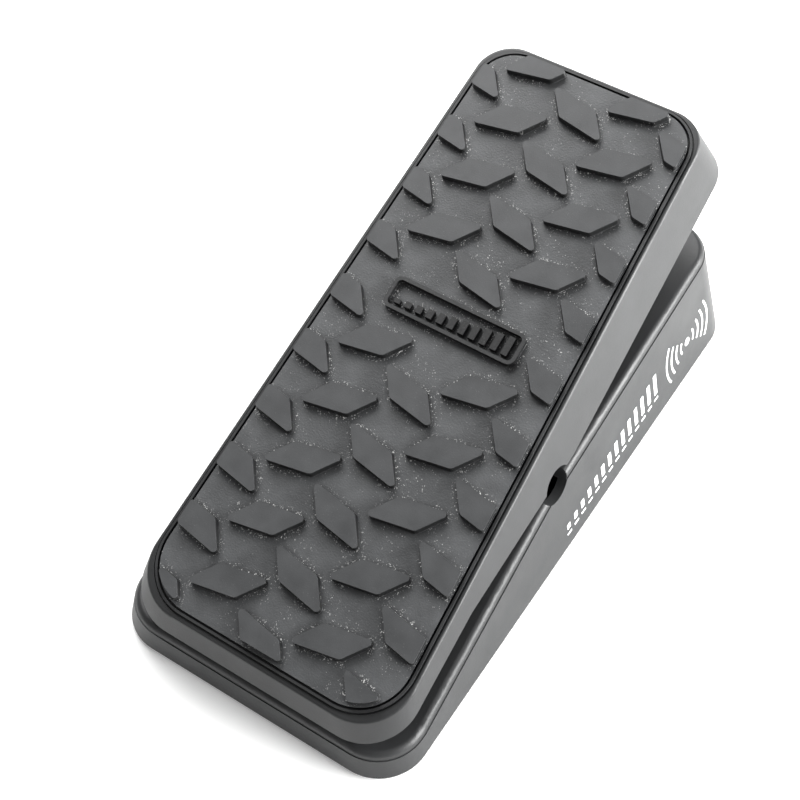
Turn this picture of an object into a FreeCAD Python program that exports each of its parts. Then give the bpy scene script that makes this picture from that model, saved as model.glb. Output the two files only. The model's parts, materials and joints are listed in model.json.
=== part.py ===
import FreeCAD, Part
import math
import os

# Volume pedal: a rocking treadle on a low wedge-shaped base.
# Millimetres, +X to the player's right, +Y from heel to toe, +Z up.
# The origin is on the floor under the middle of the base footprint.

V = FreeCAD.Vector

# ---- base casting ----
FOOT_GAP = 1.5            # height of the casting's lower edge above the floor
BASE_LENGTH = 203.0
BASE_HALF_HEEL = 49.1     # half width of the lower edge at the heel end
BASE_HALF_TOE = 52.4      # half width of the lower edge at the toe end
BASE_CORNER = 15.0
SIDE_DRAFT = 0.182        # horizontal run per unit of height, sides and heel
TOE_DRAFT = 0.18
BASE_WALL = 2.6
DECK_THICK = 3.0
EDGE_ROUND = 2.2          # radius round the deck
EDGE_RISE = 2.4           # height of the rounded band above the wall line
EDGE_STEP = 0.3           # the rounded band stands this far inside the wall
WALL_TOP_HEEL = 7.0       # wall line above the lower edge, level near the heel
WALL_TOP_PIVOT = 26.3
WALL_TOP_TOE = 38.2
SLOPE_START_Y = -84.0     # the wall line climbs from here

# ---- treadle ----
REST_TILT = 19.0          # degrees, heel down
TRAVEL = 13.0             # degrees from heel down to toe down
TREADLE_HEEL_Y = -95.6    # rim line at the heel, in the base frame
TREADLE_HEEL_Z = 22.5
RIM_LENGTH = 197.0
RIM_HALF_HEEL = 41.7
RIM_HALF_TOE = 35.0
RIM_CORNER_HEEL = 16.0
RIM_CORNER_TOE = 12.0
RIM_WIDTH = 0.7
RIM_GROOVE = 0.5
RIM_GROOVE_DEPTH = 0.8
SHOULDER = -0.8           # shoulder level outside the rim
SKIRT_OUT = 1.9           # skirt outside the rim line at shoulder level
SKIRT_DRAFT = 0.28        # horizontal run per unit of depth, sides
SKIRT_DRAFT_HEEL = 0.64
SKIRT_DRAFT_TOE = 0.10
SKIRT_CORNER_GROWTH = 0.0 # how far the skirt's corners widen with its offset
SKIRT_ROUND = 1.1
SKIRT_WALL = 2.4
# distance along the treadle and depth of the skirt's lower edge there
SKIRT_EDGE = ((0.0, 7.2), (40.0, 8.4), (95.0, 17.8), (RIM_LENGTH, 19.0))
TRAY_FLOOR = -2.6
TRAY_UNDER = -5.4
RIB_X = 15.0
RIB_HALF = 1.0
RIB_TALL = 4.5
CROSS_RIBS = (36.0, 112.0, 166.0)

# ---- mat ----
MAT_GAP = 0.7
MAT_FIELD = 0.0           # level of the plain field
BLOCK_TOP = 2.5           # level of the raised blocks
BLOCK_LONG = (15.6, 2.7)  # long edge of one slanted block
BLOCK_SHORT = (6.8, 9.1)  # short edge
BLOCK_ROUND = (1.0, 1.9)  # at the pointed and at the wide corners
BLOCK_INSET = (0.3, 1.2)  # from the mat's edge to the blocks cut by it, at the sides and at the heel
CUT_ROUND = 0.9           # at the corners of the cut blocks
BLOCK_TAPER = 0.35        # the block's foot is this much larger all round
ROW_PITCH = 20.05
COLUMN_PITCH = 35.0
FIRST_ROW = 13.85
BADGE_Y = 110.0
BADGE_HALF = 22.0
BADGE_TALL = 5.2

# ---- pivot ----
PIVOT_Y = -8.9
PIVOT_Z = 32.0
SHAFT_R = 3.0
WINDOW_R = 6.5            # round window in the skirt and in the base wall
HOUSING_R = 7.0
HOUSING_IN = 22.0
HOUSING_OUT = 30.0
EAR_IN = 31.5
EAR_OUT = 39.0
EAR_SLOT = 9.0            # half length of the deck slot round each ear
BUSH_R = 4.5
FLANGE_R = 6.0
FLANGE_THICK = 1.2
FIT = 0.04                # radial clearance of fixed fits
RUN = 0.06                # radial clearance of running fits

# ---- band drive ----
SECTOR_R = 56.0
SECTOR_DEPTH = 10.0
ARM_HALF = 2.5
BAND_THICK = 0.2
BAND_HALF = 2.0
BAND_GAP = 0.4
DRUM_R = 5.0
DRUM_HALF = 4.0
POT_SHAFT_R = 2.5         # pot shaft inside its threaded neck
POT_NECK_R = 3.5
ARM_SLOT_HALF = 5.0       # slot in the deck for the sector arm
ARM_SLOT_Y = (33.0, 49.0)
DRUM_ANGLE = -8.0         # direction from the pivot to the drum, degrees
SECTOR_LOW = -33.0        # sector ends in the treadle's own frame, degrees
SECTOR_HIGH = -3.0

# ---- jacks ----
JACK_X = (-28.0, 0.0, 28.0)
JACK_Z = 21.0
JACK_BORE_R = 3.2
JACK_BORE_Y = 79.0        # inner end of the bore
SPOT_FACE_Y = 96.6        # flat round each jack in the toe wall
JACK_PAD_Y = 93.9         # inner face of the wall behind each jack
JACK_BODY_Y = (76.0, 93.7)
BARREL_R = 4.5
BARREL_END_Y = 99.5
WASHER_THICK = 0.5
NUT_THICK = 1.8

# ---- bottom plate ----
PLATE_THICK = 1.5
PLATE_Z = 1.8
PLATE_INSET = 2.0
PLATE_SCREWS_RIGHT = ((38.0, -84.0), (42.0, 12.0), (42.0, 84.0))
PLATE_SCREWS = PLATE_SCREWS_RIGHT + tuple((-x, y) for x, y in PLATE_SCREWS_RIGHT)
FEET = ((-36.0, -66.0), (36.0, -66.0), (-40.0, 62.0), (40.0, 62.0))
FOOT_R = 7.5

# ---- fasteners, pot bracket and circuit board ----
SCREW_R = 1.5
HEAD_R = 2.8
HEAD_TALL = 1.8
HEAD_LOW = 1.3            # head of the flatter bottom plate screws
GRUB_X = (-35.2, 35.2)
BAND_SCREW_R = 0.8
DRUM_GRUB_R = 1.25
DRUM_GRUB_X = -7.2
BRACKET_TOP = 29.8
BRACKET_X = (9.0, 11.0)
BRACKET_SCREWS = ((17.0, 26.0), (17.0, 39.0))
BOARD_LOW = 27.2
BOARD_TOP = 28.8
BOARD_SCREWS = ((-14.0, 80.0), (14.0, 80.0))
BOARD_SCREW_TIP = 34.2

# ---- rubber bumpers between deck and treadle ----
BUMPER_X = 24.0
BUMPER_R = 5.5
HEEL_BUMPER_Y = -76.0
HEEL_BUMPER_TALL = 7.0
TOE_BUMPER_Y = 82.0
TOE_BUMPER_TALL = 6.0
STOP_GAP = 0.35           # left between post and bumper at each stop

BASE_HEEL_Y = -BASE_LENGTH / 2
BASE_TOE_Y = BASE_LENGTH / 2


def box(x0, x1, y0, y1, z0, z1):
    return Part.makeBox(x1 - x0, y1 - y0, z1 - z0, V(x0, y0, z0))


def rod_x(r, x0, x1, y, z):
    return Part.makeCylinder(r, x1 - x0, V(x0, y, z), V(1, 0, 0))


def rod_y(r, y0, y1, x, z):
    return Part.makeCylinder(r, y1 - y0, V(x, y0, z), V(0, 1, 0))


def rod_z(r, z0, z1, x, y):
    return Part.makeCylinder(r, z1 - z0, V(x, y, z0), V(0, 0, 1))


def rounded_wire(points, radii, z):
    """Closed counter-clockwise wire through the corner points, each rounded."""
    starts, edges, count = [], [], len(points)
    for i in range(count):
        before = V(*points[i - 1], z)
        corner = V(*points[i], z)
        after = V(*points[(i + 1) % count], z)
        a = (before - corner).normalize()
        b = (after - corner).normalize()
        half = math.acos(max(-1, min(1, a.dot(b)))) / 2
        reach = radii[i] / math.tan(half)
        middle = (a + b).normalize()
        centre = corner + middle * (radii[i] / math.sin(half))
        starts.append((corner + a * reach, centre - middle * radii[i], corner + b * reach))
    for i in range(count):
        p, m, q = starts[i]
        edges.append(Part.Arc(p, m, q).toShape())
        edges.append(Part.makeLine(q, starts[(i + 1) % count][0]))
    return Part.Wire(edges)


def taper_wire(y0, y1, half0, half1, r0, r1, z):
    points = [(-half0, y0), (half0, y0), (half1, y1), (-half1, y1)]
    return rounded_wire(points, [r0, r0, r1, r1], z)


def prism_yz(points, half):
    """Solid with the given outline in the YZ plane, from -half to half in X."""
    corners = [V(-half, y, z) for y, z in points]
    wire = Part.makePolygon(corners + corners[:1])
    return Part.Face(wire).extrude(V(2 * half, 0, 0))


def hexagon(across, length, centre, direction):
    """Hexagonal bar; direction is 'x' or 'y'."""
    r = across / math.sqrt(3)
    corners = []
    for i in range(6):
        a = math.radians(60 * i)
        u, w = r * math.cos(a), r * math.sin(a)
        shift = V(0, u, w) if direction == "x" else V(u, 0, w)
        corners.append(centre + shift)
    along = V(length, 0, 0) if direction == "x" else V(0, length, 0)
    return Part.Face(Part.makePolygon(corners + corners[:1])).extrude(along)


def both_sides(shape):
    """The shape and its mirror image in the middle plane."""
    return [shape, shape.mirror(V(0, 0, 0), V(1, 0, 0))]


def fuse_all(shapes):
    return shapes[0].multiFuse(shapes[1:]).removeSplitter()


def treadle_placement():
    turn = FreeCAD.Rotation(V(1, 0, 0), REST_TILT)
    return FreeCAD.Placement(V(0, TREADLE_HEEL_Y, TREADLE_HEEL_Z), turn)


def on_treadle(shape):
    """Moves a shape from the treadle's own frame to the resting place."""
    return shape.transformed(treadle_placement().toMatrix(), True)


def in_treadle(y, z):
    """Treadle-frame position of a point of the YZ plane."""
    p = treadle_placement().inverse().multVec(V(0, y, z))
    return p.y, p.z


def save(name, shapes):
    solids = []
    for s in shapes:
        solids.extend(s.Solids)
    for s in solids:
        if not s.isValid() or s.Volume <= 0:
            print("NOT VALID", name)
    out = solids[0] if len(solids) == 1 else Part.makeCompound(solids)
    out.exportStep("parts/%s.step" % name)
    bb = out.BoundBox
    print("%-22s solids %2d vol %9.1f  x %.1f %.1f y %.1f %.1f z %.1f %.1f" % (
        name, len(solids), sum(s.Volume for s in solids),
        bb.XMin, bb.XMax, bb.YMin, bb.YMax, bb.ZMin, bb.ZMax))


# ------------------------------------------------------------------ base


def base_wire(height, inset):
    """Outline of the base at a height above its lower edge."""
    side = SIDE_DRAFT * height + inset
    y0 = BASE_HEEL_Y + SIDE_DRAFT * height + inset
    y1 = BASE_TOE_Y - TOE_DRAFT * height - inset
    slope = (BASE_HALF_TOE - BASE_HALF_HEEL) / BASE_LENGTH
    half0 = BASE_HALF_HEEL + slope * (y0 - BASE_HEEL_Y) - side
    half1 = BASE_HALF_TOE + slope * (y1 - BASE_TOE_Y) - side
    r = BASE_CORNER - inset - 0.06 * height
    return taper_wire(y0, y1, half0, half1, r, r, FOOT_GAP + height)


def base_frustum(inset, low=0.0, high=55.0):
    return Part.makeLoft([base_wire(low, inset), base_wire(high, inset)], True, True)


def wall_line(y):
    """Height of the wall line above the lower edge at y."""
    if y < SLOPE_START_Y:
        return WALL_TOP_HEEL
    if y < PIVOT_Y:
        slope = (WALL_TOP_PIVOT - WALL_TOP_HEEL) / (PIVOT_Y - SLOPE_START_Y)
        return WALL_TOP_HEEL + slope * (y - SLOPE_START_Y)
    slope = (WALL_TOP_TOE - WALL_TOP_PIVOT) / (BASE_TOE_Y - PIVOT_Y)
    return WALL_TOP_PIVOT + slope * (y - PIVOT_Y)


def under_wall_line(raise_by):
    """Everything below the wall line, moved up by raise_by."""
    reach, bottom = 20.0, -20.0
    y_low, y_high = BASE_HEEL_Y - reach, BASE_TOE_Y + reach
    outline = [(y_low, bottom), (y_high, bottom)]
    for y in (y_high, PIVOT_Y, SLOPE_START_Y, y_low):
        outline.append((y, FOOT_GAP + wall_line(y) + raise_by))
    return prism_yz(outline, 80)


def deck_z(y):
    """Height of the deck at y."""
    return FOOT_GAP + wall_line(y) + EDGE_RISE


def deck_slope(y):
    return math.atan((deck_z(y + 1) - deck_z(y - 1)) / 2)


def base_casting():
    lower = base_frustum(0).common(under_wall_line(0))
    upper = base_frustum(EDGE_STEP).common(under_wall_line(EDGE_RISE))
    rim = [e for e in upper.Edges if min(v.Z for v in e.Vertexes) > FOOT_GAP + 2 and is_top_edge(e)]
    upper = upper.makeFillet(EDGE_ROUND, rim)
    shell = lower.fuse(upper).removeSplitter()
    cavity = base_frustum(BASE_WALL + EDGE_STEP, -1.0).common(under_wall_line(EDGE_RISE - DECK_THICK))
    shell = shell.cut(cavity)
    adds = []
    for x, y in PLATE_SCREWS:
        adds.append(rod_z(4.0, PLATE_Z + PLATE_THICK, deck_z(y) - 1, x, y))
    for x, y in BRACKET_SCREWS:
        adds.append(rod_z(3.8, BRACKET_TOP, deck_z(y) - 1, x, y))
    for x, y in BOARD_SCREWS:
        adds.append(rod_z(3.6, BOARD_TOP, deck_z(y) - 1, x, y))
    for x in JACK_X:
        adds.append(box(x - 9, x + 9, JACK_PAD_Y, BASE_TOE_Y, JACK_Z - 9, JACK_Z + 8.5))
    inside = base_frustum(1.0).common(under_wall_line(EDGE_RISE - 1.0))
    shell = shell.multiFuse([a.common(inside) for a in adds])
    shell = shell.fuse(rod_x(HOUSING_R, -HOUSING_OUT, HOUSING_OUT, PIVOT_Y, PIVOT_Z)).removeSplitter()
    cuts = []
    slot = box(HOUSING_OUT, EAR_OUT + 0.8, PIVOT_Y - EAR_SLOT, PIVOT_Y + EAR_SLOT, PIVOT_Z - 12, PIVOT_Z + 20)
    cuts += both_sides(slot)
    cuts += both_sides(rod_x(WINDOW_R, EAR_OUT, 70, PIVOT_Y, PIVOT_Z))
    cuts += both_sides(rod_x(BUSH_R + FIT, HOUSING_IN, HOUSING_OUT + 1, PIVOT_Y, PIVOT_Z))
    cuts.append(rod_x(SHAFT_R + 1, -HOUSING_OUT, HOUSING_OUT, PIVOT_Y, PIVOT_Z))
    cuts.append(box(-ARM_SLOT_HALF, ARM_SLOT_HALF, ARM_SLOT_Y[0], ARM_SLOT_Y[1], 20, 60))
    for x in JACK_X:
        cuts.append(rod_y(BARREL_R + 0.1, 85, 120, x, JACK_Z))
        cuts.append(rod_y(7.6, SPOT_FACE_Y, 120, x, JACK_Z))
    for x, y in PLATE_SCREWS:
        cuts.append(rod_z(SCREW_R + FIT, 0, 9.2, x, y))
    for x, y in BRACKET_SCREWS:
        cuts.append(rod_z(SCREW_R + FIT, 20, deck_z(y) - 1.0, x, y))
    for x, y in BOARD_SCREWS:
        cuts.append(rod_z(SCREW_R + FIT, 20, BOARD_SCREW_TIP + 0.3, x, y))
    # rebate for the bottom plate
    rebate = base_frustum(PLATE_INSET - 0.2, -1.0, PLATE_Z + PLATE_THICK - FOOT_GAP)
    cuts.append(rebate)
    return shell.cut(cuts)


def is_top_edge(edge):
    """True for the edges where the deck meets the outer wall."""
    n = 3
    for i in range(n + 1):
        t = edge.FirstParameter + (edge.LastParameter - edge.FirstParameter) * i / n
        p = edge.valueAt(t)
        if abs(p.z - deck_z(p.y)) > 0.05:
            return False
    mid = edge.valueAt((edge.FirstParameter + edge.LastParameter) / 2)
    on_crease = abs(mid.y - PIVOT_Y) < 0.1 or abs(mid.y - SLOPE_START_Y) < 0.1
    return not (on_crease and abs(mid.x) < 30)


def bottom_plate():
    top = PLATE_Z + PLATE_THICK - FOOT_GAP
    plate = Part.Face(base_wire(top, PLATE_INSET)).extrude(V(0, 0, -PLATE_THICK))
    return plate.cut([rod_z(SCREW_R + 0.2, 0, 10, x, y) for x, y in PLATE_SCREWS])


# --------------------------------------------------------------- fasteners


def cross_cut(x, y, z0, z1):
    long_x = box(x - 1.5, x + 1.5, y - 0.35, y + 0.35, z0, z1)
    long_y = box(x - 0.35, x + 0.35, y - 1.5, y + 1.5, z0, z1)
    return [long_x, long_y]


def screw_up(x, y, seat, head, tip):
    """Pan-head screw pointing up; the head hangs under the seat."""
    top = rod_z(HEAD_R, seat - head, seat, x, y)
    edges = [e for e in top.Edges if e.BoundBox.ZMax < seat - head + 0.01]
    top = top.makeFillet(0.5, edges)
    body = top.fuse(rod_z(SCREW_R, seat - 0.1, tip, x, y)).removeSplitter()
    return body.cut(cross_cut(x, y, seat - head - 1, seat - head + 0.8))


# ----------------------------------------------------------------- treadle


def treadle_wire(side, heel, toe, n, corner_growth=1.0):
    y0, y1 = -heel, RIM_LENGTH + toe
    slope = (RIM_HALF_TOE - RIM_HALF_HEEL) / RIM_LENGTH
    half0 = RIM_HALF_HEEL + slope * y0 + side
    half1 = RIM_HALF_HEEL + slope * y1 + side
    r0 = RIM_CORNER_HEEL + corner_growth * min(side, heel)
    r1 = RIM_CORNER_TOE + corner_growth * min(side, toe)
    return taper_wire(y0, y1, half0, half1, r0, r1, n)


def skirt_loft(inset, top=0.0, low=-40.0):
    wires = []
    for n in (low, top):
        side = SKIRT_OUT - inset - SKIRT_DRAFT * n
        heel = SKIRT_OUT - inset - SKIRT_DRAFT_HEEL * n
        toe = SKIRT_OUT - inset - SKIRT_DRAFT_TOE * n
        wires.append(treadle_wire(side, heel, toe, n, SKIRT_CORNER_GROWTH))
    return Part.makeLoft(wires, True, True)


def plate_between(offset, low, high):
    wire = treadle_wire(offset, offset, offset, low)
    return Part.Face(wire).extrude(V(0, 0, high - low))


def above_skirt_edge(raise_by=0.0):
    """Everything above the skirt's lower edge, in the treadle frame."""
    reach, top = 30.0, 30.0
    outline = [(-reach, -SKIRT_EDGE[0][1] + raise_by)]
    for along, depth in SKIRT_EDGE:
        outline.append((along, -depth + raise_by))
    last_along, last_depth = SKIRT_EDGE[-1]
    outline.append((last_along + reach, -last_depth + raise_by))
    outline += [(last_along + reach, top), (-reach, top)]
    return prism_yz(outline, 80)


def treadle_casting():
    outer = skirt_loft(0).common(box(-80, 80, -60, 280, -60, SHOULDER))
    top = [e for e in outer.Edges if e.BoundBox.ZMin > SHOULDER - 0.01]
    outer = outer.makeFillet(SKIRT_ROUND, top)
    outer = outer.common(above_skirt_edge())
    cavity = skirt_loft(SKIRT_WALL).common(box(-80, 80, -60, 280, -60, TRAY_UNDER))
    shell = outer.cut(cavity)
    shell = shell.fuse(plate_between(RIM_WIDTH, SHOULDER - 1.5, 0))
    groove = plate_between(RIM_WIDTH + RIM_GROOVE, SHOULDER - RIM_GROOVE_DEPTH, 5)
    groove = groove.cut(plate_between(RIM_WIDTH, SHOULDER - 3, 6))
    shell = shell.cut(groove)
    shell = shell.cut(plate_between(0, TRAY_FLOOR, 5))
    ribs = []
    for x in (-RIB_X, RIB_X):
        ribs.append(box(x - RIB_HALF, x + RIB_HALF, -10, 230, TRAY_UNDER - RIB_TALL, TRAY_UNDER + 1))
    for s in CROSS_RIBS:
        ribs.append(box(-70, 70, s - RIB_HALF, s + RIB_HALF, TRAY_UNDER - RIB_TALL, TRAY_UNDER + 1))
    room = skirt_loft(1.0).common(box(-80, 80, -60, 280, -60, TRAY_FLOOR - 1.0))
    above_edge = above_skirt_edge(1.5)
    inner = [r.common(room).common(above_edge) for r in ribs]
    for along, low in (HEEL_POST, TOE_POST):
        inner += both_sides(rod_z(BUMPER_R, low, TRAY_UNDER + 1, BUMPER_X, along))
    shell = shell.multiFuse(inner)
    shell = on_treadle(shell)
    room = on_treadle(room)
    ears = []
    lobe = rod_x(HOUSING_R, EAR_IN, EAR_OUT, PIVOT_Y, PIVOT_Z)
    neck = box(EAR_IN, EAR_OUT, PIVOT_Y - HOUSING_R, PIVOT_Y + HOUSING_R, PIVOT_Z, PIVOT_Z + 30)
    for ear in both_sides(lobe.fuse(neck)):
        ears.append(ear.common(room.fuse(box(-60, 60, -40, 20, 0, 44))))
    shell = shell.multiFuse(ears).removeSplitter()
    cuts = both_sides(rod_x(WINDOW_R, EAR_OUT + 0.6, 70, PIVOT_Y, PIVOT_Z))
    cuts += both_sides(rod_x(SHAFT_R + FIT / 2, EAR_IN - 5, EAR_OUT + 5, PIVOT_Y, PIVOT_Z))
    for x in GRUB_X:
        cuts.append(rod_z(SCREW_R + FIT, PIVOT_Z - 10, PIVOT_Z, x, PIVOT_Y))
    shell = shell.cut(cuts)
    holes = [rod_z(SCREW_R + FIT, -12, TRAY_FLOOR - 0.6, x, s) for x, s in ARM_SCREWS]
    return shell.cut([on_treadle(h) for h in holes])


# --------------------------------------------------------------------- mat


def block(cx, cy, mirrored):
    """One slanted block of the tread pattern, as a slightly tapered prism."""
    lx, ly = BLOCK_LONG
    sx, sy = BLOCK_SHORT
    corners = [(-lx - sx, -ly - sy), (lx - sx, ly - sy), (lx + sx, ly + sy), (-lx + sx, -ly + sy)]
    corners = [(x / 2, y / 2) for x, y in corners]
    if mirrored:
        corners = [(-x, y) for x, y in reversed(corners)]
    pointed, wide = BLOCK_ROUND
    wires = []
    for grow, n in ((BLOCK_TAPER, MAT_FIELD - 0.5), (0.0, BLOCK_TOP)):
        moved = []
        for x, y in corners:
            k = 1 + grow / math.hypot(x, y) * 1.6
            moved.append((cx + x * k, cy + y * k))
        radii = [pointed + grow, wide + grow] * 2
        if mirrored:
            radii.reverse()
        wires.append(rounded_wire(moved, radii, n))
    return Part.makeLoft(wires, True, True)


def badge():
    """Raised plaque with a row of rising bars."""
    def plaque(half, tall, r, low, high):
        near, far = BADGE_Y - tall, BADGE_Y + tall
        points = [(-half, near), (half, near), (half, far), (-half, far)]
        return Part.Face(rounded_wire(points, [r] * 4, low)).extrude(V(0, 0, high - low))
    frame = plaque(BADGE_HALF, BADGE_TALL, 2.4, MAT_FIELD - 0.5, BLOCK_TOP - 0.3)
    frame = frame.cut(plaque(BADGE_HALF - 1.1, BADGE_TALL - 1.1, 1.4, MAT_FIELD, BLOCK_TOP))
    bars = []
    count = 11
    step = (2 * BADGE_HALF - 8.0) / (count - 1)
    for i in range(count):
        x = -BADGE_HALF + 4.0 + step * i
        tall = 1.4 + 4.6 * i / (count - 1)
        foot = BADGE_Y - 3.0
        bars.append(box(x - 1.0, x + 1.0, foot, foot + tall, MAT_FIELD - 0.5, BLOCK_TOP - 0.5))
    return [frame] + bars


def is_cut_corner(shape, edge, limit):
    """True for an upright edge where a block is cut by the limit at an angle."""
    if abs(edge.tangentAt(edge.FirstParameter).z) < 0.9:
        return False
    middle = edge.valueAt((edge.FirstParameter + edge.LastParameter) / 2)
    if Part.Vertex(middle).distToShape(limit.Shells[0])[0] > 0.001:
        return False
    normals = []
    for face in shape.ancestorsOfType(edge, Part.Face):
        u, v = face.Surface.parameter(middle)
        normals.append(face.normalAt(u, v))
    return normals[0].dot(normals[1]) < 0.9


def cut_to(limit, shape):
    """The block inside the limit, with its new corners rounded."""
    kept = shape.common(limit).Solids[0]
    corners = [e for e in kept.Edges if is_cut_corner(kept, e, limit)]
    if corners:
        kept = kept.makeFillet(CUT_ROUND, corners)
    return kept


def treadle_mat():
    sheet = plate_between(-MAT_GAP, TRAY_FLOOR, MAT_FIELD)
    side, heel = (-MAT_GAP - inset for inset in BLOCK_INSET)
    outline = treadle_wire(side, heel, side, MAT_FIELD - 2)
    limit = Part.Face(outline).extrude(V(0, 0, BLOCK_TOP - MAT_FIELD + 4))
    shapes = []
    for row in range(10):
        y = FIRST_ROW + ROW_PITCH * row
        if row != 5:
            for x in (-COLUMN_PITCH / 2, COLUMN_PITCH / 2):
                shapes.append(block(x, y, False))
    for row in range(10):
        y = FIRST_ROW - ROW_PITCH / 2 + ROW_PITCH * row
        for x in (-COLUMN_PITCH, 0.0, COLUMN_PITCH):
            if x != 0.0 or row != 5:
                shapes.append(block(x, y, True))
    shapes = [cut_to(limit, s) for s in shapes]
    return sheet.multiFuse(shapes + badge()).removeSplitter()


# ------------------------------------------------------------------- drive

PIVOT_S, PIVOT_N = in_treadle(PIVOT_Y, PIVOT_Z)
DRUM_REACH = SECTOR_R + BAND_THICK + BAND_GAP + DRUM_R + BAND_THICK
DRUM_Y = PIVOT_Y + DRUM_REACH * math.cos(math.radians(DRUM_ANGLE))
DRUM_Z = PIVOT_Z + DRUM_REACH * math.sin(math.radians(DRUM_ANGLE))
ARM_S0 = PIVOT_S + SECTOR_R - SECTOR_DEPTH
ARM_S1 = PIVOT_S + SECTOR_R - 0.8
FLANGE_LOW = TRAY_UNDER - 3.0
ARM_SCREWS = ((-6.8, ARM_S0 + 5), (6.8, ARM_S0 + 5))
BAND_SCREW_ANGLES = (SECTOR_LOW + 1.8, SECTOR_HIGH - 1.8)


def stop_post(y, tall, tilt):
    """Treadle-frame place of the post that meets a bumper when the treadle has this tilt."""
    a = math.radians(tilt)
    dy = y - tall * math.sin(deck_slope(y)) - PIVOT_Y
    dz = deck_z(y) + tall * math.cos(deck_slope(y)) - PIVOT_Z
    s = PIVOT_S + dy * math.cos(a) + dz * math.sin(a)
    n = PIVOT_N - dy * math.sin(a) + dz * math.cos(a)
    return s, n + STOP_GAP


HEEL_POST = stop_post(HEEL_BUMPER_Y, HEEL_BUMPER_TALL, REST_TILT)
TOE_POST = stop_post(TOE_BUMPER_Y, TOE_BUMPER_TALL, REST_TILT - TRAVEL)


def ring_sector(r0, r1, half, low, high, s, n):
    """Part of a tube about an X axis, between two angles in degrees."""
    tube = Part.makeCylinder(r1, 2 * half, V(-half, s, n), V(1, 0, 0))
    tube = tube.cut(Part.makeCylinder(r0, 4 * half, V(-2 * half, s, n), V(1, 0, 0)))
    reach = 3 * r1
    points = [(s, n)]
    steps = 6
    for i in range(steps + 1):
        a = math.radians(low + (high - low) * i / steps)
        points.append((s + reach * math.cos(a), n + reach * math.sin(a)))
    return tube.common(prism_yz(points, 2 * half))


def radial_hole(r, r0, r1, angle):
    a = math.radians(angle)
    d = V(0, math.cos(a), math.sin(a))
    return Part.makeCylinder(r, r1 - r0, V(0, PIVOT_S, PIVOT_N) + d * r0, d)


def band_arm():
    inner = SECTOR_R - SECTOR_DEPTH
    sector = ring_sector(inner, SECTOR_R, ARM_HALF, SECTOR_LOW, SECTOR_HIGH, PIVOT_S, PIVOT_N)
    low = PIVOT_N + SECTOR_R * math.sin(math.radians(SECTOR_HIGH)) - 1.5
    neck = box(-ARM_HALF, ARM_HALF, ARM_S0 + 0.4, ARM_S1, low, TRAY_UNDER)
    flange = box(-10.5, 10.5, ARM_S0 - 3, ARM_S1 + 4, FLANGE_LOW, TRAY_UNDER)
    upright = [e for e in flange.Edges if e.BoundBox.ZLength > 2 and e.BoundBox.YLength < 0.1]
    flange = flange.makeFillet(2.0, upright)
    arm = fuse_all([sector, neck, flange])
    cuts = [rod_z(SCREW_R + 0.15, -20, 0, x, s) for x, s in ARM_SCREWS]
    for angle in BAND_SCREW_ANGLES:
        cuts.append(radial_hole(BAND_SCREW_R + FIT / 2, SECTOR_R - 4.2, SECTOR_R + 5, angle))
    return on_treadle(arm.cut(cuts))


def drive_band():
    low, high = SECTOR_LOW + 0.3, SECTOR_HIGH - 0.3
    band = ring_sector(SECTOR_R, SECTOR_R + BAND_THICK, BAND_HALF, low, high, PIVOT_S, PIVOT_N)
    cuts = [radial_hole(BAND_SCREW_R + 0.05, SECTOR_R - 4, SECTOR_R + 5, a) for a in BAND_SCREW_ANGLES]
    return on_treadle(band.cut(cuts))


def band_screws():
    out = []
    for angle in BAND_SCREW_ANGLES:
        stem = radial_hole(BAND_SCREW_R, SECTOR_R - 4, SECTOR_R + BAND_THICK + 0.1, angle)
        head = radial_hole(1.5, SECTOR_R + BAND_THICK, SECTOR_R + BAND_THICK + 0.9, angle)
        out.append(on_treadle(stem.fuse(head).removeSplitter()))
    return out


def drum():
    body = rod_x(DRUM_R, -10, DRUM_HALF, DRUM_Y, DRUM_Z)
    for x0, x1 in ((-DRUM_HALF, -DRUM_HALF + 0.9), (DRUM_HALF - 0.9, DRUM_HALF)):
        body = body.fuse(rod_x(DRUM_R + 1.3, x0, x1, DRUM_Y, DRUM_Z))
    bore = rod_x(SHAFT_R + FIT / 2, -20, 20, DRUM_Y, DRUM_Z)
    grub_hole = rod_z(DRUM_GRUB_R + FIT / 2, DRUM_Z, DRUM_Z + 10, DRUM_GRUB_X, DRUM_Y)
    return body.cut([bore, grub_hole]).removeSplitter()


def drum_grub_screw():
    return rod_z(DRUM_GRUB_R, DRUM_Z + SHAFT_R, DRUM_Z + DRUM_R - 0.2, DRUM_GRUB_X, DRUM_Y)


def pot_body():
    can = rod_x(8.0, 11.0, 20.0, DRUM_Y, DRUM_Z)
    can = can.makeFillet(0.8, [e for e in can.Edges if e.BoundBox.XMin > 19.9])
    neck = rod_x(POT_NECK_R, 6.0, 11.5, DRUM_Y, DRUM_Z)
    lugs = []
    for d in (-4.5, 0.0, 4.5):
        lugs.append(box(12.0, 12.8, DRUM_Y + d - 0.9, DRUM_Y + d + 0.9, DRUM_Z - 13, DRUM_Z - 6))
    body = fuse_all([can, neck] + lugs)
    return body.cut(rod_x(POT_SHAFT_R + RUN, 0, 15.0, DRUM_Y, DRUM_Z))


def pot_shaft():
    thick = rod_x(SHAFT_R, -10.5, 5.6, DRUM_Y, DRUM_Z)
    thin = rod_x(POT_SHAFT_R, 5.0, 14.5, DRUM_Y, DRUM_Z)
    return thick.fuse(thin).removeSplitter()


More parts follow.
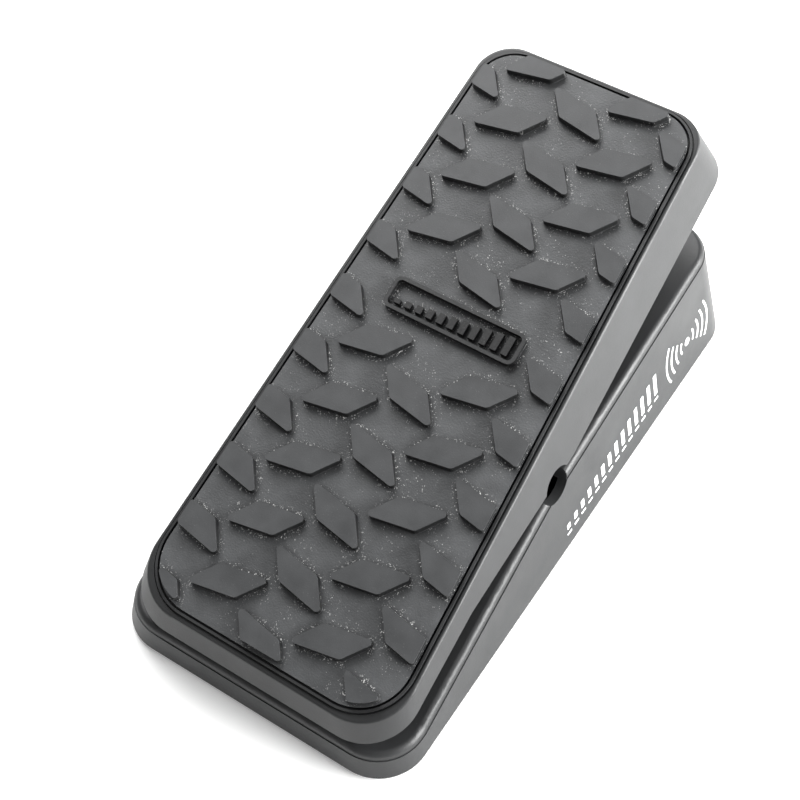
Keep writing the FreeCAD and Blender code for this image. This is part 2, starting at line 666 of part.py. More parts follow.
def pot_bracket():
    x0, x1 = BRACKET_X
    plate = box(x0, x1, 20.0, 62.0, DRUM_Z - 9.0, BRACKET_TOP)
    flange = box(x0, 23.0, 20.0, 43.4, BRACKET_TOP - 2, BRACKET_TOP)
    shape = plate.fuse(flange).removeSplitter()
    cuts = [rod_x(POT_NECK_R + 0.1, 0, 20, DRUM_Y, DRUM_Z)]
    cuts += [rod_z(SCREW_R + 0.2, 20, 50, x, y) for x, y in BRACKET_SCREWS]
    return shape.cut(cuts)


# ----------------------------------------------------------------- jacks


def pot_nut():
    nut = hexagon(10.0, 1.9, V(6.4, DRUM_Y, DRUM_Z), "x")
    return nut.cut(rod_x(POT_NECK_R + FIT, 0, 20, DRUM_Y, DRUM_Z))


def pot_washer():
    washer = rod_x(5.8, 8.35, 8.95, DRUM_Y, DRUM_Z)
    return washer.cut(rod_x(POT_NECK_R + 2 * FIT, 0, 20, DRUM_Y, DRUM_Z))


def jack(x):
    y0, y1 = JACK_BODY_Y
    body = box(x - 8, x + 8, y0, y1, JACK_Z - 6.0, JACK_Z + 6.1)
    body = body.makeFillet(0.8, [e for e in body.Edges if e.BoundBox.YLength > 5])
    barrel = rod_y(BARREL_R, y1 - 0.3, BARREL_END_Y, x, JACK_Z)
    shape = body.fuse(barrel).removeSplitter()
    return shape.cut(rod_y(JACK_BORE_R, JACK_BORE_Y, 110.0, x, JACK_Z))


def jack_hole(x):
    return rod_y(BARREL_R + FIT, 90, 110, x, JACK_Z)


def jack_nut(x):
    nut = hexagon(12.6, NUT_THICK, V(x, SPOT_FACE_Y + WASHER_THICK, JACK_Z), "y")
    return nut.cut(jack_hole(x))


def jack_washer(x):
    washer = rod_y(7.0, SPOT_FACE_Y, SPOT_FACE_Y + WASHER_THICK, x, JACK_Z)
    return washer.cut(jack_hole(x))


def circuit_board():
    board = box(-36.5, 36.5, 72.0, 93.2, BOARD_LOW, BOARD_TOP)
    return board.cut([rod_z(SCREW_R + 0.2, 20, 40, x, y) for x, y in BOARD_SCREWS])


def bumper(y, tall):
    """Rubber button standing square on the sloping deck."""
    shapes = []
    for x in (-BUMPER_X, BUMPER_X):
        pad = Part.makeCylinder(BUMPER_R, tall)
        pad = pad.makeFillet(1.0, [e for e in pad.Edges if e.BoundBox.ZMin > tall - 0.01])
        pad.rotate(V(0, 0, 0), V(1, 0, 0), math.degrees(deck_slope(y)))
        pad.translate(V(x, y, deck_z(y)))
        shapes.append(pad)
    return shapes


def bush():
    body = rod_x(BUSH_R, HOUSING_IN, HOUSING_OUT, PIVOT_Y, PIVOT_Z)
    flange = rod_x(FLANGE_R, HOUSING_OUT, HOUSING_OUT + FLANGE_THICK, PIVOT_Y, PIVOT_Z)
    return body.fuse(flange).removeSplitter().cut(rod_x(SHAFT_R + RUN, 0, 60, PIVOT_Y, PIVOT_Z))


def drum_band():
    tube = rod_x(DRUM_R + BAND_THICK, -BAND_HALF, BAND_HALF, DRUM_Y, DRUM_Z)
    tube = tube.cut(rod_x(DRUM_R, -5, 5, DRUM_Y, DRUM_Z))
    return tube.cut(box(-5, 5, DRUM_Y, DRUM_Y + 10, DRUM_Z - 0.6, DRUM_Z + 0.6))


def grub_screw(x):
    """Set screw in the ear, its tip on the shaft, with a socket below."""
    low = PIVOT_Z - HOUSING_R + 0.4
    screw = rod_z(SCREW_R, low, PIVOT_Z - SHAFT_R, x, PIVOT_Y)
    return screw.cut(rod_z(0.8, low - 1, low + 1.2, x, PIVOT_Y))


def plate_screw(x, y):
    return screw_up(x, y, PLATE_Z, HEAD_LOW, 9.0)


def bracket_screw(x, y):
    return screw_up(x, y, BRACKET_TOP - 2, HEAD_TALL, deck_z(y) - 1.4)


def board_screw(x, y):
    return screw_up(x, y, BOARD_LOW, HEAD_TALL, BOARD_SCREW_TIP)


def arm_screw(x, s):
    return on_treadle(screw_up(x, s, FLANGE_LOW, HEAD_TALL, TRAY_FLOOR - 0.8))


os.makedirs("parts", exist_ok=True)

save("base_casting", [base_casting()])
save("bottom_plate", [bottom_plate()])
save("plate_screws", [plate_screw(x, y) for x, y in PLATE_SCREWS])
save("rubber_feet", [rod_z(FOOT_R, 0, PLATE_Z, x, y) for x, y in FEET])
save("pivot_bushes", both_sides(bush()))
save("pivot_shaft", [rod_x(SHAFT_R, -EAR_OUT, EAR_OUT, PIVOT_Y, PIVOT_Z)])
save("shaft_grub_screws", [grub_screw(x) for x in GRUB_X])
save("treadle_casting", [treadle_casting()])
save("treadle_mat", [on_treadle(treadle_mat())])
save("band_arm", [band_arm()])
save("arm_screws", [arm_screw(x, s) for x, s in ARM_SCREWS])
save("drive_band", [drive_band()])
save("band_screws", band_screws())
save("drum", [drum()])
save("drum_band", [drum_band()])
save("drum_grub_screw", [drum_grub_screw()])
save("pot_body", [pot_body()])
save("pot_shaft", [pot_shaft()])
save("pot_nut", [pot_nut()])
save("pot_washer", [pot_washer()])
save("pot_bracket", [pot_bracket()])
save("bracket_screws", [bracket_screw(x, y) for x, y in BRACKET_SCREWS])
for name, jx in zip(("output_jack", "aux_jack", "input_jack"), JACK_X):
    save(name, [jack(jx)])
save("jack_nuts", [jack_nut(jx) for jx in JACK_X])
save("jack_washers", [jack_washer(jx) for jx in JACK_X])
save("circuit_board", [circuit_board()])
save("board_screws", [board_screw(x, y) for x, y in BOARD_SCREWS])
save("heel_bumpers", bumper(HEEL_BUMPER_Y, HEEL_BUMPER_TALL))
save("toe_bumpers", bumper(TOE_BUMPER_Y, TOE_BUMPER_TALL))
print("drum at", DRUM_Y, DRUM_Z, "pivot in treadle frame", PIVOT_S, PIVOT_N)
print("stop posts", HEEL_POST, TOE_POST)
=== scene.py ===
import json
import math

import bmesh
import bpy
from mathutils import Matrix, Vector
from mathutils.bvhtree import BVHTree


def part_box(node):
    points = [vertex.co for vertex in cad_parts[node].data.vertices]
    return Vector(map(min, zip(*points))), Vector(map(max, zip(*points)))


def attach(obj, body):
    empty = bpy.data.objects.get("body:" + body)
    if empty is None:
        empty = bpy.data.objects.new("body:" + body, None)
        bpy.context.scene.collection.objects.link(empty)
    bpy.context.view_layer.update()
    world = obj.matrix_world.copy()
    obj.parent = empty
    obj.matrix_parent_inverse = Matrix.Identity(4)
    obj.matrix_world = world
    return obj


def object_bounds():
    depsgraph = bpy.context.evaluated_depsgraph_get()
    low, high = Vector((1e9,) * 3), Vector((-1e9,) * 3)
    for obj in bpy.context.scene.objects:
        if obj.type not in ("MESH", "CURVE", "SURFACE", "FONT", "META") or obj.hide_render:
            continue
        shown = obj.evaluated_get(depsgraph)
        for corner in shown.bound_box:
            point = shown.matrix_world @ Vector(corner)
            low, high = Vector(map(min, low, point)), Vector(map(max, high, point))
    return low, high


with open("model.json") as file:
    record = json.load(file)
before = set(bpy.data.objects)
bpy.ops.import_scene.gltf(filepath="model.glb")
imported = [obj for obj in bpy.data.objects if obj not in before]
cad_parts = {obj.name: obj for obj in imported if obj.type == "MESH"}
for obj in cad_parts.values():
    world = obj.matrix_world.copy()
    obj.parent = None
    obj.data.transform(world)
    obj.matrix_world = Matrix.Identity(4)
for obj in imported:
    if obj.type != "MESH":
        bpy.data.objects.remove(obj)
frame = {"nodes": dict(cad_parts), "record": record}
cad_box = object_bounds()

# Volume pedal: black powder-coated base and treadle, moulded rubber mat, white
# printed marks on the right wall. Metres, +X right, +Y from heel to toe, +Z up.

MM = 0.001
NODES = frame["nodes"]


# ---------------------------------------------------------------- materials


class Finish:
    """A node material under construction, with its Principled shader."""

    def __init__(self, name, **sockets):
        self.material = bpy.data.materials.new(name)
        self.material.use_nodes = True
        self.tree = self.material.node_tree
        self.shader = self.tree.nodes["Principled BSDF"]
        for socket, value in sockets.items():
            self.shader.inputs[socket.replace("_", " ")].default_value = value
        self.place = self.add("ShaderNodeTexCoord").outputs["Object"]

    def add(self, kind, **links):
        """A node; each keyword is an input, given as a value or an output to link."""
        made = self.tree.nodes.new(kind)
        for socket, value in links.items():
            self.feed(made.inputs[socket.replace("_", " ")], value)
        return made

    def feed(self, socket, value):
        if isinstance(value, bpy.types.NodeSocket):
            self.tree.links.new(value, socket)
        else:
            socket.default_value = value

    def noise(self, size, detail=3.0, stretch=(1, 1, 1), roughness=0.5):
        """Noise with features of the given size in metres, 0 to 1."""
        scaled = self.vector("MULTIPLY", self.place, [k / size for k in stretch])
        made = self.add("ShaderNodeTexNoise", Vector=scaled, Scale=1.0, Detail=detail, Roughness=roughness)
        return made.outputs["Fac"]

    def cells(self, size, randomness=1.0):
        """Distance from scattered points, in cells of the given size."""
        scaled = self.vector("MULTIPLY", self.place, [1 / size] * 3)
        made = self.add("ShaderNodeTexVoronoi", Vector=scaled, Scale=1.0, Randomness=randomness)
        return made.outputs["Distance"]

    def vector(self, operation, a, b):
        made = self.tree.nodes.new("ShaderNodeVectorMath")
        made.operation = operation
        self.feed(made.inputs[0], a)
        self.feed(made.inputs[1], b)
        return made.outputs["Value" if operation in ("DOT_PRODUCT", "LENGTH") else "Vector"]

    def math(self, operation, a, b=0.5):
        made = self.tree.nodes.new("ShaderNodeMath")
        made.operation = operation
        self.feed(made.inputs[0], a)
        self.feed(made.inputs[1], b)
        return made.outputs[0]

    def spread(self, value, low, high, to_low=0.0, to_high=1.0):
        """Maps low..high to to_low..to_high and holds the ends."""
        made = self.add("ShaderNodeMapRange", Value=value)
        for socket, number in zip(("From Min", "From Max", "To Min", "To Max"), (low, high, to_low, to_high)):
            made.inputs[socket].default_value = number
        return made.outputs["Result"]

    def blend(self, share, a, b):
        """Colour a where share is 0 and b where it is 1."""
        made = self.tree.nodes.new("ShaderNodeMix")
        made.data_type = "RGBA"
        self.feed(made.inputs["Factor"], share)
        colour_inputs = [s for s in made.inputs if s.type == "RGBA"]
        for socket, value in zip(colour_inputs, (a, b)):
            self.feed(socket, value if isinstance(value, bpy.types.NodeSocket) else (*value, 1.0))
        return [s for s in made.outputs if s.type == "RGBA"][0]

    def colour(self, output):
        self.feed(self.shader.inputs["Base Color"], output)

    def roughness(self, output):
        self.feed(self.shader.inputs["Roughness"], output)

    def relief(self, height, depth):
        """Bump of the given depth in metres."""
        made = self.add("ShaderNodeBump", Height=height, Distance=depth, Strength=1.0)
        self.feed(self.shader.inputs["Normal"], made.outputs["Normal"])


def grey(level, tint=(0.0, 0.0, 0.0)):
    return tuple(level * (1 + t) for t in tint)


COOL = (-0.03, 0.0, 0.035)


def powder_coat(name, level, rough):
    """Satin black powder coat: fine orange peel, faint mottling and dust."""
    finish = Finish(name, Metallic=0.0, Specular_IOR_Level=0.40)
    mottle = finish.noise(9 * MM, detail=4)
    base = finish.blend(finish.spread(mottle, 0.3, 0.7), grey(level * 0.9, COOL), grey(level * 1.12, COOL))
    specks = finish.spread(finish.cells(1.7 * MM), 0.05, 0.02)
    patches = finish.spread(finish.noise(6 * MM), 0.55, 0.7)
    dust = finish.math("MULTIPLY", specks, finish.math("MULTIPLY", patches, 0.35))
    finish.colour(finish.blend(dust, base, grey(0.35)))
    worn = finish.noise(22 * MM, detail=5, roughness=0.6)
    finish.roughness(finish.spread(worn, 0.3, 0.72, rough - 0.05, rough + 0.06))
    peel = finish.noise(0.75 * MM, detail=2)
    grain = finish.noise(0.22 * MM, detail=1)
    finish.relief(finish.math("ADD", peel, finish.math("MULTIPLY", grain, 0.5)), 0.022 * MM)
    return finish.material


# darkest and lightest grey of each part of the mat
TOP_TONES = (0.039, 0.053)
FIELD_TONES = (0.053, 0.080)
# painted shade on the walls of the blocks
BLOCK_WALL_SHADE = 0.008
# painted shade in the field beside the blocks
FIELD_SHADE_TONE = 0.010
DUST_COLOUR = (0.50, 0.50, 0.49)
# heights over which a block's wall starts above the field and ends below the top
WALL_FOOT = (0.15 * MM, 0.6 * MM)
WALL_HEAD = (0.15 * MM, 0.35 * MM)
CREVICE_REACH = 2.2 * MM
SCATTER_CELL = 0.62 * MM   # spacing of the grit in the open field
SCATTER_SHARE = 0.75
DRIFT_CELL = 0.5 * MM      # spacing of the grit held against the blocks
MAT_RELIEF = 0.075 * MM


def mat_rubber(normal, level_of_field, level_of_blocks):
    """Moulded rubber: gritty between the blocks, smoother on top of them, with painted shade on the block
    walls and in the field beside them.
    """
    finish = Finish("mat_rubber", Metallic=0.0, Specular_IOR_Level=0.4)
    height = finish.vector("DOT_PRODUCT", finish.place, normal)
    block_top = finish.spread(height, level_of_field + 1.2 * MM, level_of_blocks - 0.1 * MM)
    field = finish.math("SUBTRACT", 1.0, block_top)
    mottle = finish.spread(finish.noise(7 * MM, detail=5), 0.3, 0.7)
    tops = finish.blend(mottle, grey(TOP_TONES[0], COOL), grey(TOP_TONES[1], COOL))
    floor = finish.blend(mottle, grey(FIELD_TONES[0], COOL), grey(FIELD_TONES[1], COOL))
    rubber = finish.blend(field, tops, floor)
    # painted shade: block walls are painted darker than the tops, as their shaded sides
    above = finish.spread(height, level_of_field + WALL_FOOT[0], level_of_field + WALL_FOOT[1])
    below = finish.spread(height, level_of_blocks - WALL_HEAD[0], level_of_blocks - WALL_HEAD[1])
    wall = finish.math("MULTIPLY", above, below)
    rubber = finish.blend(wall, rubber, grey(BLOCK_WALL_SHADE, COOL))
    corner = finish.add("ShaderNodeAmbientOcclusion", Distance=CREVICE_REACH)
    corner.samples = 8
    corner.only_local = True
    occlusion = corner.outputs["AO"]
    # painted shade: the field darkens where the occlusion node finds block walls close by
    field_shade = finish.math("MULTIPLY", finish.spread(occlusion, 0.95, 0.55, 0.0, 0.6), field)
    rubber = finish.blend(field_shade, rubber, grey(FIELD_SHADE_TONE, COOL))
    # pale grit: a thin scatter in the field, and drifts held against the blocks
    patches = finish.spread(finish.noise(8 * MM, detail=4), 0.47, 0.64)
    size = finish.spread(finish.noise(1.1 * MM, detail=1), 0.35, 0.7, 0.02, 0.30)
    near = finish.math("SUBTRACT", size, finish.cells(SCATTER_CELL))
    grit = finish.spread(near, 0.0, 0.06)
    open_field = finish.spread(field, 0.0, 1.0, 0.12, 1.0)
    catch = finish.math("MULTIPLY", finish.math("MULTIPLY", grit, patches), open_field)
    crevice = finish.spread(occlusion, 0.97, 0.80)
    held_size = finish.spread(finish.noise(0.9 * MM, detail=2), 0.35, 0.7, 0.05, 0.50)
    held_near = finish.math("SUBTRACT", held_size, finish.cells(DRIFT_CELL))
    held = finish.math("MULTIPLY", finish.spread(held_near, 0.0, 0.08), crevice)
    lines = finish.spread(finish.noise(9 * MM, detail=3), 0.38, 0.56)
    held = finish.math("MULTIPLY", held, finish.math("SUBTRACT", 1.0, wall))
    scatter = finish.math("MULTIPLY", catch, SCATTER_SHARE)
    dust = finish.math("MAXIMUM", scatter, finish.math("MULTIPLY", held, lines))
    finish.colour(finish.blend(dust, rubber, DUST_COLOUR))
    cloud = finish.noise(14 * MM, detail=4)
    finish.roughness(finish.spread(cloud, 0.3, 0.7, 0.40, 0.52))
    coarse = finish.noise(0.55 * MM, detail=2)
    fine = finish.noise(0.2 * MM, detail=2)
    gritty = finish.math("MULTIPLY", coarse, finish.spread(field, 0.0, 1.0, 0.22, 1.0))
    finish.relief(finish.math("ADD", gritty, finish.math("MULTIPLY", fine, 0.3)), MAT_RELIEF)
    return finish.material


def soft_rubber(name, level):
    """Plain matte rubber with a fine moulded grain and a little bloom."""
    finish = Finish(name, Metallic=0.0, Specular_IOR_Level=0.3)
    bloom = finish.spread(finish.noise(4 * MM, detail=4), 0.4, 0.75)
    finish.colour(finish.blend(bloom, grey(level), grey(level * 1.7)))
    finish.roughness(finish.spread(finish.noise(3 * MM), 0.3, 0.7, 0.72, 0.86))
    finish.relief(finish.noise(0.3 * MM, detail=2), 0.03 * MM)
    return finish.material


def metal(name, low, high, rough, stretch=(1, 1, 1), grain=1.2 * MM):
    """Metal with grain along one direction; low and high are its two tones."""
    finish = Finish(name, Metallic=1.0)
    streaks = finish.noise(grain, detail=4, stretch=stretch)
    stain = finish.spread(finish.noise(5 * MM, detail=4), 0.35, 0.75)
    tone = finish.math("MULTIPLY", finish.spread(streaks, 0.25, 0.75), finish.spread(stain, 0, 1, 1.0, 0.75))
    finish.colour(finish.blend(tone, low, high))
    finish.roughness(finish.spread(streaks, 0.25, 0.75, rough + 0.08, rough - 0.06))
    finish.relief(streaks, 0.006 * MM)
    return finish.material


def moulded_plastic(name, level, rough):
    finish = Finish(name, Metallic=0.0, Specular_IOR_Level=0.5)
    finish.colour(finish.blend(finish.spread(finish.noise(3 * MM), 0.3, 0.7), grey(level), grey(level * 1.5)))
    finish.roughness(finish.spread(finish.noise(2 * MM, detail=4), 0.3, 0.7, rough - 0.06, rough + 0.08))
    finish.relief(finish.noise(0.25 * MM, detail=1), 0.012 * MM)
    return finish.material


def solder_mask(name):
    """Green board with slightly darker tracks under the mask."""
    finish = Finish(name, Metallic=0.0, Coat_Weight=0.3, Coat_Roughness=0.2)
    scaled = finish.vector("MULTIPLY", finish.place, [1 / (6 * MM)] * 3)
    tracks = finish.add("ShaderNodeTexBrick", Vector=scaled, Scale=1.0)
    tracks.inputs["Mortar Size"].default_value = 0.06
    weave = finish.noise(0.8 * MM, detail=2)
    mask = finish.blend(finish.spread(weave, 0.3, 0.7), (0.012, 0.10, 0.045), (0.018, 0.14, 0.06))
    finish.colour(finish.blend(tracks.outputs["Fac"], mask, (0.006, 0.055, 0.028)))
    finish.roughness(finish.spread(weave, 0.3, 0.7, 0.28, 0.4))
    finish.relief(tracks.outputs["Fac"], 0.03 * MM)
    return finish.material


def printed_ink(name):
    """White screen-printed ink, a little uneven, with small worn gaps."""
    finish = Finish(name, Metallic=0.0, Specular_IOR_Level=0.4)
    thin = finish.spread(finish.noise(0.5 * MM, detail=3), 0.62, 0.75)
    finish.colour(finish.blend(thin, (0.86, 0.87, 0.86), (0.42, 0.43, 0.43)))
    finish.roughness(finish.spread(finish.noise(1 * MM), 0.3, 0.7, 0.45, 0.6))
    finish.relief(finish.noise(0.3 * MM, detail=1), 0.01 * MM)
    return finish.material


def floor_paper(name):
    """White paper sweep that glows a little, more so far away, so it meets the backdrop."""
    finish = Finish(name, Metallic=0.0, Specular_IOR_Level=0.15, Emission_Color=(1.0, 1.0, 1.0, 1.0))
    tone = finish.spread(finish.noise(900 * MM, detail=2), 0.3, 0.7)
    finish.colour(finish.blend(tone, (0.90, 0.905, 0.895), (0.93, 0.93, 0.925)))
    finish.roughness(finish.spread(finish.noise(300 * MM), 0.3, 0.7, 0.75, 0.85))
    finish.relief(finish.noise(2 * MM), 0.01 * MM)
    away = finish.vector("LENGTH", finish.place, (0, 0, 0))
    finish.feed(finish.shader.inputs["Emission Strength"], finish.spread(away, 0.6, 2.5, 0.20, 1.0))
    return finish.material


# ------------------------------------------------------- edges of CAD pieces


def shading_group():
    """Geometry nodes: smooth faces, sharp where two faces meet at over SHARP_ANGLE."""
    tree = bpy.data.node_groups.new("smooth_by_angle", "GeometryNodeTree")
    tree.interface.new_socket("Geometry", in_out="INPUT", socket_type="NodeSocketGeometry")
    tree.interface.new_socket("Geometry", in_out="OUTPUT", socket_type="NodeSocketGeometry")
    start = tree.nodes.new("NodeGroupInput")
    end = tree.nodes.new("NodeGroupOutput")
    strip = tree.nodes.new("GeometryNodeRemoveAttribute")
    strip.inputs["Name"].default_value = "custom_normal"
    smooth = tree.nodes.new("GeometryNodeSetShadeSmooth")
    smooth.domain = "FACE"
    angle = tree.nodes.new("GeometryNodeInputMeshEdgeAngle")
    compare = tree.nodes.new("ShaderNodeMath")
    compare.operation = "GREATER_THAN"
    compare.inputs[1].default_value = SHARP_ANGLE
    sharp = tree.nodes.new("GeometryNodeSetShadeSmooth")
    sharp.domain = "EDGE"
    sharp.inputs["Shade Smooth"].default_value = False
    tree.links.new(start.outputs[0], strip.inputs["Geometry"])
    tree.links.new(strip.outputs["Geometry"], smooth.inputs["Geometry"])
    tree.links.new(angle.outputs["Unsigned Angle"], compare.inputs[0])
    tree.links.new(compare.outputs[0], sharp.inputs["Selection"])
    tree.links.new(smooth.outputs["Geometry"], sharp.inputs["Geometry"])
    tree.links.new(sharp.outputs["Geometry"], end.inputs[0])
    return tree


def soften(piece, group, width):
    """Rounds a piece's sharp edges by width, without touching its own mesh."""
    weld = piece.modifiers.new("weld", "WELD")
    weld.merge_threshold = WELD_DISTANCE
    flat = piece.modifiers.new("flat", "DECIMATE")
    flat.decimate_type = "DISSOLVE"
    flat.angle_limit = FLAT_ANGLE
    bevel = piece.modifiers.new("bevel", "BEVEL")
    bevel.width = width
    bevel.segments = BEVEL_SEGMENTS
    bevel.limit_method = "ANGLE"
    bevel.angle_limit = SHARP_ANGLE
    bevel.use_clamp_overlap = True
    shade = piece.modifiers.new("shade", "NODES")
    shade.node_group = group
    weighted = piece.modifiers.new("weighted", "WEIGHTED_NORMAL")
    weighted.keep_sharp = True


# edges that turn by more than this are rounded and shaded sharp
SHARP_ANGLE = math.radians(35)
BEVEL_SEGMENTS = 2
WELD_DISTANCE = 0.001 * MM
FLAT_ANGLE = math.radians(0.4)

# edge rounding of each CAD node that shows, in metres
EDGE_WIDTH = {
    "base_casting": 0.30 * MM,
    "treadle_casting": 0.30 * MM,
    "treadle_mat": 0.28 * MM,
    "bottom_plate": 0.20 * MM,
    "rubber_feet": 0.40 * MM,
    "jack_nuts": 0.15 * MM,
    "jack_washers": 0.08 * MM,
    "output_jack": 0.20 * MM,
    "aux_jack": 0.20 * MM,
    "input_jack": 0.20 * MM,
    "heel_bumpers": 0.20 * MM,
    "toe_bumpers": 0.20 * MM,
    "pivot_shaft": 0.25 * MM,
    "plate_screws": 0.10 * MM,
}


# ------------------------------------------------------------ printed marks

# Heights above the floor and distances along the base of the marks on the right wall
BAR_COUNT = 14
BAR_START_Y = -6.0 * MM
BAR_END_Y = 49.0 * MM
BAR_FOOT_Z = (8.6 * MM, 12.2 * MM)
BAR_TALL = (2.0 * MM, 8.6 * MM)
BAR_HALF = 0.9 * MM
RULE_DROP = 2.4 * MM
RULE_TALL = 0.7 * MM
WAVE_Y = 70.5 * MM
WAVE_Z = 15.6 * MM
WAVE_RADII = (4.2 * MM, 7.4 * MM, 10.6 * MM, 13.8 * MM)
WAVE_LINE = 0.42 * MM
WAVE_HALF_ANGLE = 34
DASH_WIDER = 1.35         # width of a dash against the width of a bar
DOT_RADIUS = 1.5 * MM
INK_PROUD = 0.045 * MM
INK_SUNK = 0.03 * MM


def wall_finder(node):
    """Returns a function that gives the X of the node's outer right face at (y, z)."""
    mesh = NODES[node].data
    tree = BVHTree.FromPolygons([v.co for v in mesh.vertices], [p.vertices for p in mesh.polygons])
    start_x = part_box(node)[1].x + 10 * MM

    def wall_x(y, z):
        return tree.ray_cast(Vector((start_x, y, z)), Vector((-1, 0, 0)))[0].x

    return wall_x


def ink_patch(mesh, outline, wall_x):
    """Adds a thin closed patch of ink with this (y, z) outline, counter-clockwise from +X."""
    outer = [mesh.verts.new((wall_x(y, z) + INK_PROUD, y, z)) for y, z in outline]
    inner = [mesh.verts.new((wall_x(y, z) - INK_SUNK, y, z)) for y, z in outline]
    mesh.faces.new(outer)
    mesh.faces.new(list(reversed(inner)))
    count = len(outline)
    for i in range(count):
        j = (i + 1) % count
        mesh.faces.new((outer[i], inner[i], inner[j], outer[j]))


def arc_outline(y, z, radius, half_line, low, high, steps=14):
    """Outline of a curved stroke about (y, z) between two angles in degrees."""
    angles = [math.radians(low + (high - low) * i / steps) for i in range(steps + 1)]
    far, near = radius + half_line, radius - half_line
    outside = [(y + far * math.cos(a), z + far * math.sin(a)) for a in angles]
    inside = [(y + near * math.cos(a), z + near * math.sin(a)) for a in angles]
    return outside + inside[::-1]


def printed_marks(name, outlines, ink, wall_x):
    mesh = bmesh.new()
    for outline in outlines:
        ink_patch(mesh, outline, wall_x)
    data = bpy.data.meshes.new(name)
    mesh.to_mesh(data)
    mesh.free()
    piece = bpy.data.objects.new(name, data)
    bpy.context.scene.collection.objects.link(piece)
    data.materials.append(ink)
    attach(piece, "base")
    return piece


def level_bars():
    """A row of bars that grows from heel to toe, the sign for a volume control."""
    outlines = []
    for i in range(BAR_COUNT):
        t = i / (BAR_COUNT - 1)
        y = BAR_START_Y + (BAR_END_Y - BAR_START_Y) * t
        foot = BAR_FOOT_Z[0] + (BAR_FOOT_Z[1] - BAR_FOOT_Z[0]) * t
        top = foot + BAR_TALL[0] + (BAR_TALL[1] - BAR_TALL[0]) * t
        left, right = y - BAR_HALF, y + BAR_HALF
        outlines.append([(left, foot), (right, foot), (right, top), (left, top)])
    return outlines


def ruled_line():
    """A broken line under the bars, one dash for every bar."""
    outlines = []
    for i in range(BAR_COUNT):
        t = i / (BAR_COUNT - 1)
        y = BAR_START_Y + (BAR_END_Y - BAR_START_Y) * t
        z = BAR_FOOT_Z[0] + (BAR_FOOT_Z[1] - BAR_FOOT_Z[0]) * t - RULE_DROP
        half = BAR_HALF * DASH_WIDER
        outlines.append([(y - half, z), (y + half, z), (y + half, z + RULE_TALL), (y - half, z + RULE_TALL)])
    return outlines


def sound_wave():
    """A dot with arcs spreading to both sides."""
    steps = 20
    turn = [2 * math.pi * i / steps for i in range(steps)]
    outlines = [[(WAVE_Y + DOT_RADIUS * math.cos(a), WAVE_Z + DOT_RADIUS * math.sin(a)) for a in turn]]
    for radius in WAVE_RADII:
        for middle in (0, 180):
            low, high = middle - WAVE_HALF_ANGLE, middle + WAVE_HALF_ANGLE
            outlines.append(arc_outline(WAVE_Y, WAVE_Z, radius, WAVE_LINE, low, high))
    return outlines


# ------------------------------------------------------------------- light


def area_light(name, place, aim, width, height, power, colour=(1, 1, 1)):
    data = bpy.data.lights.new(name, "AREA")
    data.shape = "RECTANGLE"
    data.size = width
    data.size_y = height
    data.energy = power
    data.color = colour
    lamp = bpy.data.objects.new(name, data)
    bpy.context.scene.collection.objects.link(lamp)
    lamp.location = place
    lamp.rotation_mode = "QUATERNION"
    lamp.rotation_quaternion = (Vector(aim) - Vector(place)).to_track_quat("-Z", "Y")
    return lamp


def studio_world(strength):
    world = bpy.data.worlds.new("studio")
    world.use_nodes = True
    tree = world.node_tree
    background = tree.nodes["Background"]
    background.inputs["Color"].default_value = (1.0, 1.0, 1.0, 1.0)
    # the backdrop is seen white, and lights the object more gently
    seen = tree.nodes.new("ShaderNodeLightPath").outputs["Is Camera Ray"]
    level = tree.nodes.new("ShaderNodeMapRange")
    level.inputs["To Min"].default_value = strength
    level.inputs["To Max"].default_value = 1.0
    tree.links.new(seen, level.inputs["Value"])
    tree.links.new(level.outputs["Result"], background.inputs["Strength"])
    bpy.context.scene.world = world


def studio_floor(half):
    mesh = bmesh.new()
    corners = [(-half, -half), (half, -half), (half, half), (-half, half)]
    mesh.faces.new([mesh.verts.new((x, y, 0.0)) for x, y in corners])
    data = bpy.data.meshes.new("floor")
    mesh.to_mesh(data)
    mesh.free()
    floor = bpy.data.objects.new("floor", data)
    bpy.context.scene.collection.objects.link(floor)
    data.materials.append(floor_paper("floor_paper"))
    return floor


# ------------------------------------------------------------------ camera

CAMERA_AZIMUTH = 34.37     # degrees round from the heel towards the right side
CAMERA_ELEVATION = 50.15
CAMERA_ROLL = -1.77
CAMERA_DISTANCE = 0.4827
CAMERA_AIM = Vector((-0.0238, 0.0063, 0.0156))  # aim, from the middle of the object
CAMERA_LENS = 74.07
CAMERA_SHIFT = (0.0226, -0.1377)


def photograph_camera():
    low, high = cad_box
    aim = (low + high) / 2 + CAMERA_AIM
    a, e = math.radians(CAMERA_AZIMUTH), math.radians(CAMERA_ELEVATION)
    back = Vector((math.sin(a) * math.cos(e), -math.cos(a) * math.cos(e), math.sin(e)))
    data = bpy.data.cameras.new("camera")
    data.lens = CAMERA_LENS
    data.shift_x, data.shift_y = CAMERA_SHIFT
    data.clip_start = 0.01
    camera = bpy.data.objects.new("camera", data)
    bpy.context.scene.collection.objects.link(camera)
    upright = (-back).to_track_quat("-Z", "Y").to_matrix()
    roll = Matrix.Rotation(math.radians(CAMERA_ROLL), 3, "Z")
    camera.rotation_mode = "QUATERNION"
    camera.rotation_quaternion = (upright @ roll).to_quaternion()
    camera.location = aim + back * CAMERA_DISTANCE
    bpy.context.scene.camera = camera


# ------------------------------------------------------------------- build

BLOCK_HEIGHT = 2.5 * MM    # of the tread blocks above the mat's field
PEDAL_MIDDLE = (0.0, 0.0, 0.05)
FLOOR_HALF = 6.0
WORLD_STRENGTH = 0.36
# place, width, height and power in watts of each area light
RIGHT_WINDOW = ((0.94, 0.36, 0.34), 0.8, 0.6, 43.0)
OVERHEAD = ((-0.60, 0.60, 0.90), 1.1, 0.9, 29.0)


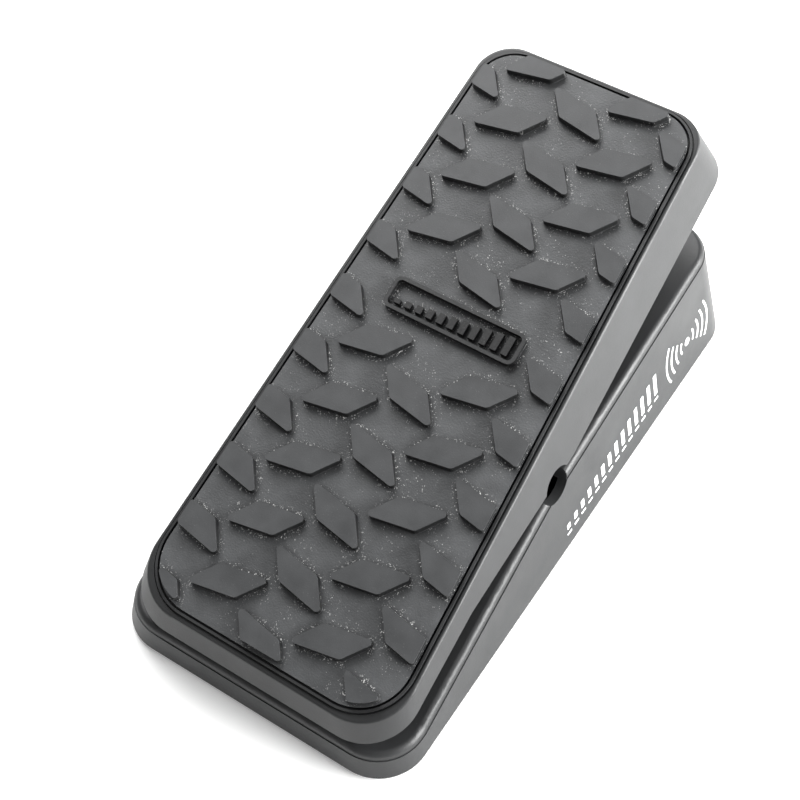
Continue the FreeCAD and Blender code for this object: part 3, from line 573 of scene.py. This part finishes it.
def tread_face():
    """Point on a block top and the direction square to the treadle, from the record."""
    mount = next(m for m in frame["record"]["mounts"] if m["name"] == "tread_face")
    return Vector(mount["pos_m"]), Vector(mount["axis"]).normalized()


def make_finishes():
    point, normal = tread_face()
    top = point.dot(normal)
    across = (0.15, 1, 1)
    return {
        "casting_paint": powder_coat("casting_paint", 0.021, 0.44),
        "plate_paint": powder_coat("plate_paint", 0.021, 0.48),
        "mat_rubber": mat_rubber(normal, top - BLOCK_HEIGHT, top),
        "foot_rubber": soft_rubber("foot_rubber", 0.018),
        "black_steel": metal("black_steel", grey(0.05), grey(0.11), 0.40, across),
        "can_steel": metal("can_steel", grey(0.42), grey(0.62), 0.30, across),
        "plated_steel": metal("plated_steel", grey(0.48), (0.66, 0.66, 0.63), 0.26),
        "bracket_steel": metal("bracket_steel", grey(0.13), grey(0.20), 0.46, (1, 0.15, 1)),
        "band_steel": metal("band_steel", grey(0.20), (0.30, 0.30, 0.32), 0.38, (1, 0.1, 0.1)),
        "brass_drum": metal("brass_drum", (0.62, 0.45, 0.20), (0.80, 0.61, 0.30), 0.28, across),
        "nylon": moulded_plastic("nylon", 0.035, 0.50),
        "jack_plastic": moulded_plastic("jack_plastic", 0.020, 0.35),
        "board": solder_mask("board"),
    }


def finish_cad_nodes(finishes):
    group = shading_group()
    for row in frame["record"]["subparts"]:
        piece = NODES[row["node"]]
        piece.data.materials.clear()
        piece.data.materials.append(finishes[row["material_slot"]])
        if row["node"] in EDGE_WIDTH:
            soften(piece, group, EDGE_WIDTH[row["node"]])


def print_wall_marks():
    ink = printed_ink("printed_ink")
    wall_x = wall_finder("base_casting")
    printed_marks("level_bar_print", level_bars(), ink, wall_x)
    printed_marks("ruled_line_print", ruled_line(), ink, wall_x)
    printed_marks("sound_wave_print", sound_wave(), ink, wall_x)


finish_cad_nodes(make_finishes())
print_wall_marks()
studio_floor(FLOOR_HALF)
studio_world(WORLD_STRENGTH)
for name, (place, width, height, power) in (("right_window", RIGHT_WINDOW), ("overhead", OVERHEAD)):
    area_light(name, place, PEDAL_MIDDLE, width, height, power)
photograph_camera()
bpy.context.scene.view_settings.view_transform = "Standard"
